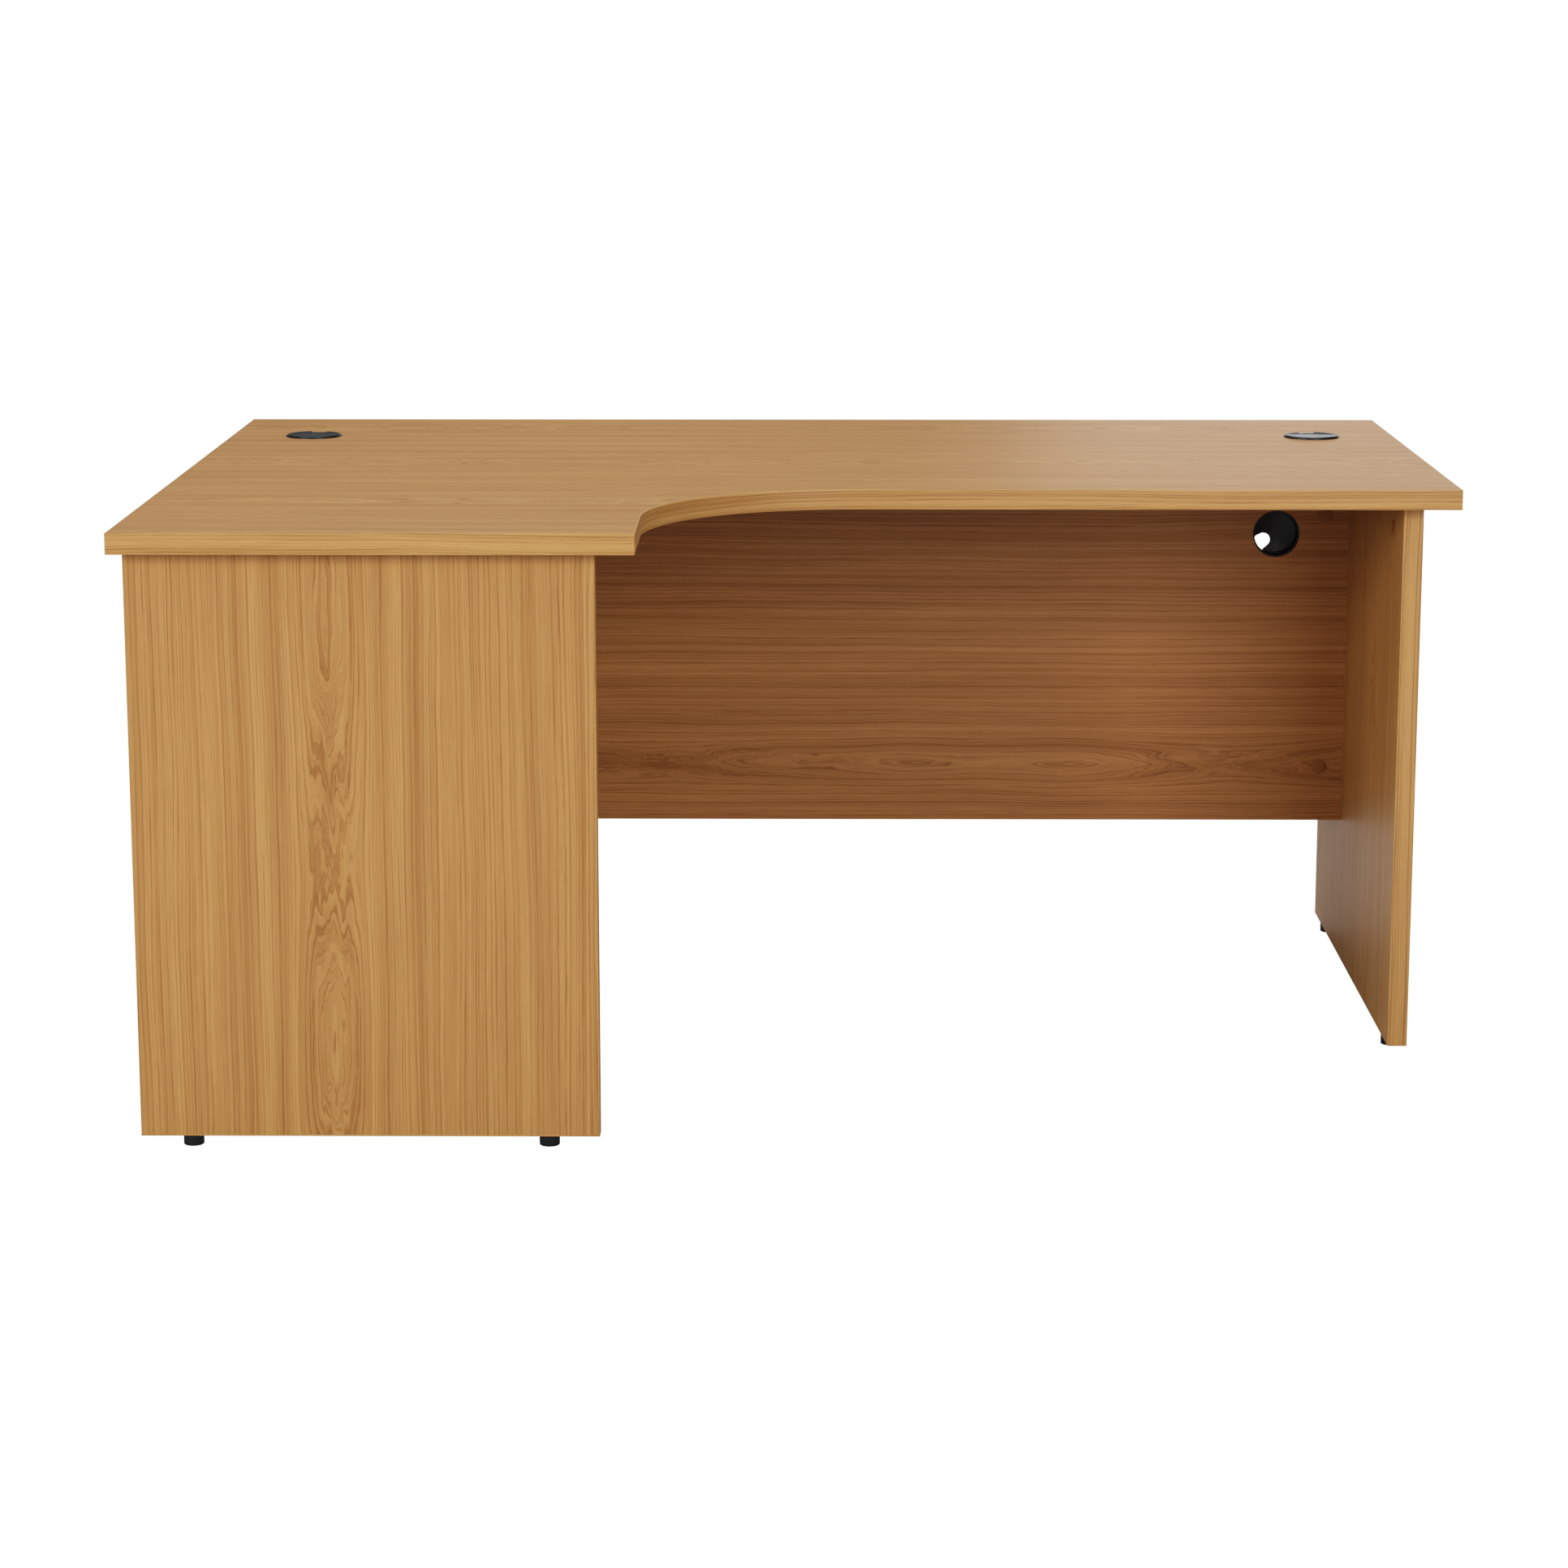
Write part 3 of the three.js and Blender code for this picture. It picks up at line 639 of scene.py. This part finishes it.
def make_grained_skin():
    """A moulded or cast skin: a fine grain pressed in, and broad clouds of shade and dulling."""
    tree, given, end = new_group(
        "grained_skin",
        [("Point", "Vector"), ("Grain Size", "Float"), ("Grain Depth", "Float"),
         ("Cloud Size", "Float"), ("Roughness", "Float"), ("Dulling", "Float")],
        [("Shade", "Float"), ("Roughness", "Float"), ("Normal", "Vector")],
    )
    fine = add_node(tree, "ShaderNodeTexNoise", {
        "Vector": given["Point"], "Scale": calc(tree, "DIVIDE", 1.0, given["Grain Size"]),
        "Detail": 3.0,
    })
    cloud = add_node(tree, "ShaderNodeTexNoise", {
        "Vector": given["Point"], "Scale": calc(tree, "DIVIDE", 1.0, given["Cloud Size"]),
        "Detail": 2.0,
    })
    uneven = calc(tree, "SUBTRACT", cloud.outputs[0], 0.5)
    dulled = calc(tree, "MULTIPLY_ADD", uneven, given["Dulling"], given["Roughness"])
    bump = add_node(tree, "ShaderNodeBump", {
        "Height": fine.outputs[0], "Strength": 0.25, "Distance": given["Grain Depth"],
    })
    tree.links.new(cloud.outputs[0], end.inputs["Shade"])
    tree.links.new(dulled, end.inputs["Roughness"])
    tree.links.new(bump.outputs[0], end.inputs["Normal"])
    return tree


grained_skin = make_grained_skin()


def skinned(name, shade, colour, metallic, skin):
    """A material with the grained skin, its colour clouded between shade and colour."""
    material = new_material(name)
    tree = material.node_tree
    place = add_node(tree, "ShaderNodeTexCoord").outputs["Object"]
    grain = add_node(tree, "ShaderNodeGroup", {"Point": place, **skin}, node_tree=grained_skin)
    mix = add_node(tree, "ShaderNodeMix", {
        0: grain.outputs["Shade"], 6: (*shade, 1), 7: (*colour, 1),
    }, data_type="RGBA")
    shader = add_node(tree, "ShaderNodeBsdfPrincipled", {
        "Base Color": mix.outputs[2], "Roughness": grain.outputs["Roughness"],
        "Metallic": metallic, "Normal": grain.outputs["Normal"],
    })
    output = add_node(tree, "ShaderNodeOutputMaterial")
    tree.links.new(shader.outputs[0], output.inputs[0])
    return material


MOULDED = {"Grain Size": 0.0005, "Grain Depth": 0.00005, "Cloud Size": 0.011, "Dulling": 0.16}
black_plastic = skinned("black_plastic", (0.013, 0.014, 0.016), (0.016, 0.017, 0.020), 0.0,
                        {"Roughness": 0.36, **MOULDED})


def lathe(name, profile, steps, material):
    """Turns (radius, height) points round +Z. Points on the axis close the shape there."""
    shape = bmesh.new()
    rings = []
    for radius, height in profile:
        if radius < 1e-7:
            rings.append([shape.verts.new((0, 0, height))])
            continue
        turns = [2 * math.pi * i / steps for i in range(steps)]
        rings.append([
            shape.verts.new((radius * math.cos(t), radius * math.sin(t), height)) for t in turns
        ])
    for low, high in zip(rings, rings[1:]):
        for i in range(steps):
            j = (i + 1) % steps
            corners = [low[i % len(low)], low[j % len(low)]]
            corners += [high[j % len(high)], high[i % len(high)]]
            corners = list(dict.fromkeys(corners))
            if len(corners) > 2:
                shape.faces.new(corners)
    bmesh.ops.remove_doubles(shape, verts=shape.verts, dist=1e-7)
    bmesh.ops.recalc_face_normals(shape, faces=shape.faces)
    mesh = bpy.data.meshes.new(name)
    shape.to_mesh(mesh)
    shape.free()
    mesh.materials.append(material)
    return mesh


def smooth(mesh, angle=35):
    """Smooth shading, broken at edges sharper than the angle."""
    mesh.shade_smooth()
    mesh.set_sharp_from_angle(angle=math.radians(angle))


def rounded(corner, radius, start, steps=5):
    """A quarter turn about a centre: used to round an outer edge of a half-section."""
    turns = [math.radians(start) + math.pi / 2 * i / steps for i in range(steps + 1)]
    return [(corner[0] + radius * math.cos(t), corner[1] + radius * math.sin(t)) for t in turns]


def sleeve_mesh(name, hole, flange, depth):
    outer = hole - SLEEVE_GAP
    inner = outer - SLEEVE_WALL
    edge = SLEEVE_ROUND
    profile = [(inner, -depth), (outer, -depth), (outer, 0), (flange, 0)]
    profile += rounded((flange - edge, FLANGE - edge), edge, 0)
    profile += [(inner + edge, FLANGE), (inner, FLANGE - edge), (inner, -depth)]
    mesh = lathe(name, profile, PORT_STEPS, black_plastic)
    smooth(mesh)
    return mesh


def notch_prism(reach, low, high):
    """A slot, round at its inner end and opening outwards, to cut from the cap."""
    side = Vector((NOTCH_RADIUS * math.cos(NOTCH_FLARE),
                   NOTCH_REACH - NOTCH_RADIUS * math.sin(NOTCH_FLARE)))
    rim_x = side.x + (reach - side.y) * math.tan(NOTCH_FLARE)
    outline = [(rim_x, reach), (-rim_x, reach)]
    outline += curve_run((0, NOTCH_REACH), NOTCH_RADIUS, math.pi + NOTCH_FLARE,
                         2 * math.pi - NOTCH_FLARE, NOTCH_STEPS)
    shape = bmesh.new()
    face = shape.faces.new([shape.verts.new((x, y, low)) for x, y in outline])
    raised = bmesh.ops.extrude_face_region(shape, geom=[face])["geom"]
    tops = [part for part in raised if isinstance(part, bmesh.types.BMVert)]
    bmesh.ops.translate(shape, verts=tops, vec=(0, 0, high - low))
    bmesh.ops.recalc_face_normals(shape, faces=shape.faces)
    mesh = bpy.data.meshes.new("notch")
    shape.to_mesh(mesh)
    shape.free()
    return mesh


def cap_mesh(name, radius, skirt, skirt_depth):
    """A thin dished disc on a skirt, with its cable notch cut and the cut's edges eased."""
    top = FLANGE + CAP_RISE
    under = FLANGE + CAP_GAP
    profile = [(0, under), (skirt - SKIRT_WALL, under), (skirt - SKIRT_WALL, -skirt_depth),
               (skirt, -skirt_depth), (skirt, under), (radius, under)]
    profile += rounded((radius - CAP_ROUND, top - CAP_ROUND), CAP_ROUND, 0)
    profile += [(radius - DISH_EDGE, top), (radius - DISH_EDGE - DISH_SLOPE, top - DISH_DEPTH),
                (0, top - DISH_DEPTH)]
    disc = bpy.data.objects.new(name, lathe(name, profile, PORT_STEPS, black_plastic))
    notch = notch_prism(radius + CUTTER_OVERRUN, -CUTTER_HALF, CUTTER_HALF)
    cutter = bpy.data.objects.new("notch", notch)
    for helper in (disc, cutter):
        scene.collection.objects.link(helper)
    cut = disc.modifiers.new("notch", "BOOLEAN")
    cut.operation = "DIFFERENCE"
    cut.solver = "EXACT"
    cut.object = cutter
    ease = disc.modifiers.new("ease", "BEVEL")
    ease.width = EASED
    ease.segments = 2
    ease.limit_method = "ANGLE"
    ease.angle_limit = math.radians(50)
    view = bpy.context.evaluated_depsgraph_get()
    view.update()
    mesh = bpy.data.meshes.new_from_object(disc.evaluated_get(view), depsgraph=view)
    for helper in (disc, cutter):
        bpy.data.objects.remove(helper)
    smooth(mesh)
    return mesh


def make_port(name, notch, face):
    """Sets a port's sleeve and cap on their axis, the notch pointing its own way."""
    low, high = (Vector(corner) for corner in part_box(f"{name}_sleeve"))
    face = Vector(face)
    notch = Vector(notch)
    across = notch.cross(face)
    span = high - low
    flange = max(span) / 2
    depth = abs(span.dot(face)) - FLANGE
    centre = (low + high) / 2
    seat = centre + face * (abs(span.dot(face)) / 2 - FLANGE)
    place = Matrix((
        (across.x, notch.x, face.x, seat.x),
        (across.y, notch.y, face.y, seat.y),
        (across.z, notch.z, face.z, seat.z),
        (0, 0, 0, 1),
    ))
    hole = flange - FLANGE_REACH
    skirt = hole - SLEEVE_WALL - SKIRT_GAP
    sleeve = sleeve_mesh(f"{name}_liner", hole, flange, depth)
    cap = cap_mesh(f"{name}_lid", flange - CAP_INSET, skirt, SKIRT_DEPTH)
    for mesh in (sleeve, cap):
        mesh.transform(place)
    add_piece(f"{name}_liner", sleeve, "desk", [f"{name}_sleeve"])
    add_piece(f"{name}_lid", cap, f"{name}_cap", [f"{name}_cap"])


for side, lean in (("left", 1), ("right", -1)):
    turn = TOP_NOTCH_TURN * lean
    make_port(f"{side}_port", (math.sin(turn), math.cos(turn), 0), (0, 0, 1))
make_port("modesty_port", (-math.sin(MODESTY_NOTCH_TURN), 0, math.cos(MODESTY_NOTCH_TURN)),
          (0, 1, 0))


# The cam covers. Oak-coloured plastic buttons pressed into the cams, a little proud of the
# board, each turned as it happened to be pushed in.

COVER_RADIUS = 0.010
COVER_RISE = 0.0014
COVER_ROUND = 0.0008
COVER_STEPS = 48
STUB_RADIUS = 0.0032
STUB_DEPTH = 0.002
cover_plastic = skinned("cover_plastic", (0.29, 0.120, 0.036), (0.35, 0.150, 0.045), 0.0,
                        {"Roughness": 0.42, **MOULDED})


def cover_mesh(material):
    profile = [(0, -STUB_DEPTH), (STUB_RADIUS, -STUB_DEPTH), (STUB_RADIUS, 0), (COVER_RADIUS, 0)]
    profile += rounded((COVER_RADIUS - COVER_ROUND, COVER_RISE - COVER_ROUND), COVER_ROUND, 0)
    profile += [(0, COVER_RISE)]
    mesh = lathe("cover", profile, COVER_STEPS, material)
    smooth(mesh)
    return mesh


def make_scatter_tree():
    """Geometry Nodes: one copy of a fitting on each point, turned to face along its normal."""
    tree = bpy.data.node_groups.new("fittings_on_points", "GeometryNodeTree")
    for socket, kind in (("Points", "Geometry"), ("Fitting", "Object"), ("Finish", "Material"),
                         ("Seed", "Int")):
        tree.interface.new_socket(name=socket, in_out="INPUT", socket_type="NodeSocket" + kind)
    tree.interface.new_socket(name="Made", in_out="OUTPUT", socket_type="NodeSocketGeometry")
    start = tree.nodes.new("NodeGroupInput").outputs
    facing = add_node(tree, "GeometryNodeInputNamedAttribute", {"Name": "facing"},
                      data_type="FLOAT_VECTOR").outputs["Attribute"]
    aimed = add_node(tree, "FunctionNodeAlignRotationToVector", {"Vector": facing}, axis="Z")
    chance = add_node(tree, "FunctionNodeRandomValue", {
        2: 0.0, 3: 2 * math.pi, "Seed": start["Seed"],
    }, data_type="FLOAT").outputs[1]
    own_turn = add_node(tree, "ShaderNodeCombineXYZ", {2: chance})
    spun = add_node(tree, "FunctionNodeRotateRotation", {
        0: aimed.outputs[0], 1: own_turn.outputs[0],
    }, rotation_space="LOCAL")
    fitting = add_node(tree, "GeometryNodeObjectInfo", {"Object": start["Fitting"]})
    placed = add_node(tree, "GeometryNodeInstanceOnPoints", {
        "Points": start["Points"], "Instance": fitting.outputs["Geometry"],
        "Rotation": spun.outputs[0],
    })
    real = add_node(tree, "GeometryNodeRealizeInstances", {0: placed.outputs[0]})
    dressed = add_node(tree, "GeometryNodeSetMaterial", {
        "Geometry": real.outputs[0], "Material": start["Finish"],
    })
    end = tree.nodes.new("NodeGroupOutput")
    tree.links.new(dressed.outputs[0], end.inputs["Made"])
    return tree


scatter_tree = make_scatter_tree()


def scatter(name, places, mesh, finish, seed):
    """Copies of one mesh at (place, facing) pairs, as one mesh."""
    points = bpy.data.meshes.new(name + "_points")
    points.from_pydata([place for place, _ in places], [], [])
    facing = points.attributes.new("facing", "FLOAT_VECTOR", "POINT")
    for item, (_, direction) in zip(facing.data, places):
        item.vector = direction
    cloud = bpy.data.objects.new(name + "_points", points)
    fitting = bpy.data.objects.new(name + "_one", mesh)
    for helper in (cloud, fitting):
        scene.collection.objects.link(helper)
    made = run_tree(cloud, scatter_tree, {"Fitting": fitting, "Finish": finish, "Seed": seed})
    for helper in (cloud, fitting):
        bpy.data.objects.remove(helper)
    made.name = name
    return made


def cover_seat(node):
    """Where a cover meets its board, and which way it faces: away from its own stub."""
    low, high = (Vector(corner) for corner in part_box(node))
    span = high - low
    axis = min(range(3), key=lambda i: span[i])
    fitting_low, fitting_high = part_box(node.replace("_cover", ""))
    centre = (low + high) / 2
    cam_middle = (fitting_low[axis] + fitting_high[axis]) / 2
    facing = Vector((0, 0, 0))
    facing[axis] = 1.0 if centre[axis] > cam_middle else -1.0
    seat = centre.copy()
    seat[axis] = (high[axis] if facing[axis] > 0 else low[axis]) - facing[axis] * COVER_RISE
    return seat, facing


cover_nodes = sorted(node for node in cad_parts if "_cam_cover_" in node)
covers = scatter("cam_covers", [cover_seat(node) for node in cover_nodes],
                 cover_mesh(cover_plastic), cover_plastic, 4)
add_piece("cam_covers", covers, "desk", cover_nodes)


# The cam fittings. Die-cast zinc cams gripping plated steel bolts, sunk in the boards, where
# only a taken-off cover shows them.

CAST = {"Grain Size": 0.0025, "Grain Depth": 0.0001, "Cloud Size": 0.0025, "Dulling": 0.3}
zinc = skinned("cast_zinc", (0.36, 0.37, 0.38), (0.52, 0.53, 0.54), 1.0,
               {"Roughness": 0.45, **CAST})
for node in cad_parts:
    if "_cam_" in node and "_cover_" not in node:
        finish_node(node, zinc)


# The threaded inserts. Moulded nylon sleeves with a thread inside, pressed into the foot of
# each leg, flush with its edging.

nylon = skinned("natural_nylon", (0.51, 0.49, 0.44), (0.62, 0.60, 0.54), 0.0,
                {"Roughness": 0.5, **MOULDED})
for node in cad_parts:
    if "_insert_" in node:
        finish_node(node, nylon)


# The levelling feet. A black plastic pad moulded on a steel stud, screwed right in under the
# leg. Each one is a body of its own and screws down to level the desk.

FOOT_STEPS = 64
STUD_STEPS = 32
PAD_HEIGHT = 0.013
PAD_ROUND = 0.0013
PAD_CHAMFER = 0.0004
STUD_RADIUS = 0.0037
THREAD_PITCH = 0.00125
THREAD_DEPTH = 0.0005
STUD_ROOT = 0.001
TIP_CHAMFER = 0.0006
SOLE_RISE = 0.0003
SOLE_INSET, SOLE_EDGE = 0.0021, 0.0016
steel = skinned("plated_steel", (0.39, 0.40, 0.41), (0.56, 0.57, 0.58), 1.0,
                {"Roughness": 0.45, **CAST})


def foot_mesh(name, centre, radius, floor, height, stud_top):
    """The pad, then the stud with its thread as rings one pitch apart."""
    profile = [(0, floor), (radius - SOLE_INSET, floor),
               (radius - SOLE_EDGE, floor + SOLE_RISE)]
    profile += rounded((radius - PAD_ROUND, floor + SOLE_RISE + PAD_ROUND), PAD_ROUND, -90)
    pad_top = floor + height
    core = STUD_RADIUS - THREAD_DEPTH
    profile += [(radius, pad_top - PAD_CHAMFER), (radius - PAD_CHAMFER, pad_top),
                (core, pad_top), (0, pad_top)]
    pad = lathe(name, profile, FOOT_STEPS, black_plastic)
    smooth(pad)

    thread = [(0, pad_top - STUD_ROOT), (core, pad_top - STUD_ROOT)]
    turns = int((stud_top - pad_top - STUD_ROOT) / THREAD_PITCH)
    for i in range(turns):
        z = pad_top + i * THREAD_PITCH
        thread += [(core, z), (STUD_RADIUS, z + THREAD_PITCH / 2)]
    thread += [(core, stud_top - TIP_CHAMFER), (STUD_RADIUS - STUD_ROOT, stud_top), (0, stud_top)]
    stud = lathe(name + "_stud", thread, STUD_STEPS, steel)
    for mesh in (pad, stud):
        mesh.transform(Matrix.Translation((centre[0], centre[1], 0)))
    return pad, stud


for node in sorted(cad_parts):
    if "_foot_" not in node:
        continue
    low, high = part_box(node)
    centre = ((low[0] + high[0]) / 2, (low[1] + high[1]) / 2)
    pad, stud = foot_mesh(node + "_pad", centre, (high[0] - low[0]) / 2, low[2],
                          PAD_HEIGHT, high[2])
    add_piece(node + "_pad", pad, node, [node])
    rod = bpy.data.objects.new(node + "_stud", stud)
    scene.collection.objects.link(rod)
    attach(rod, node)
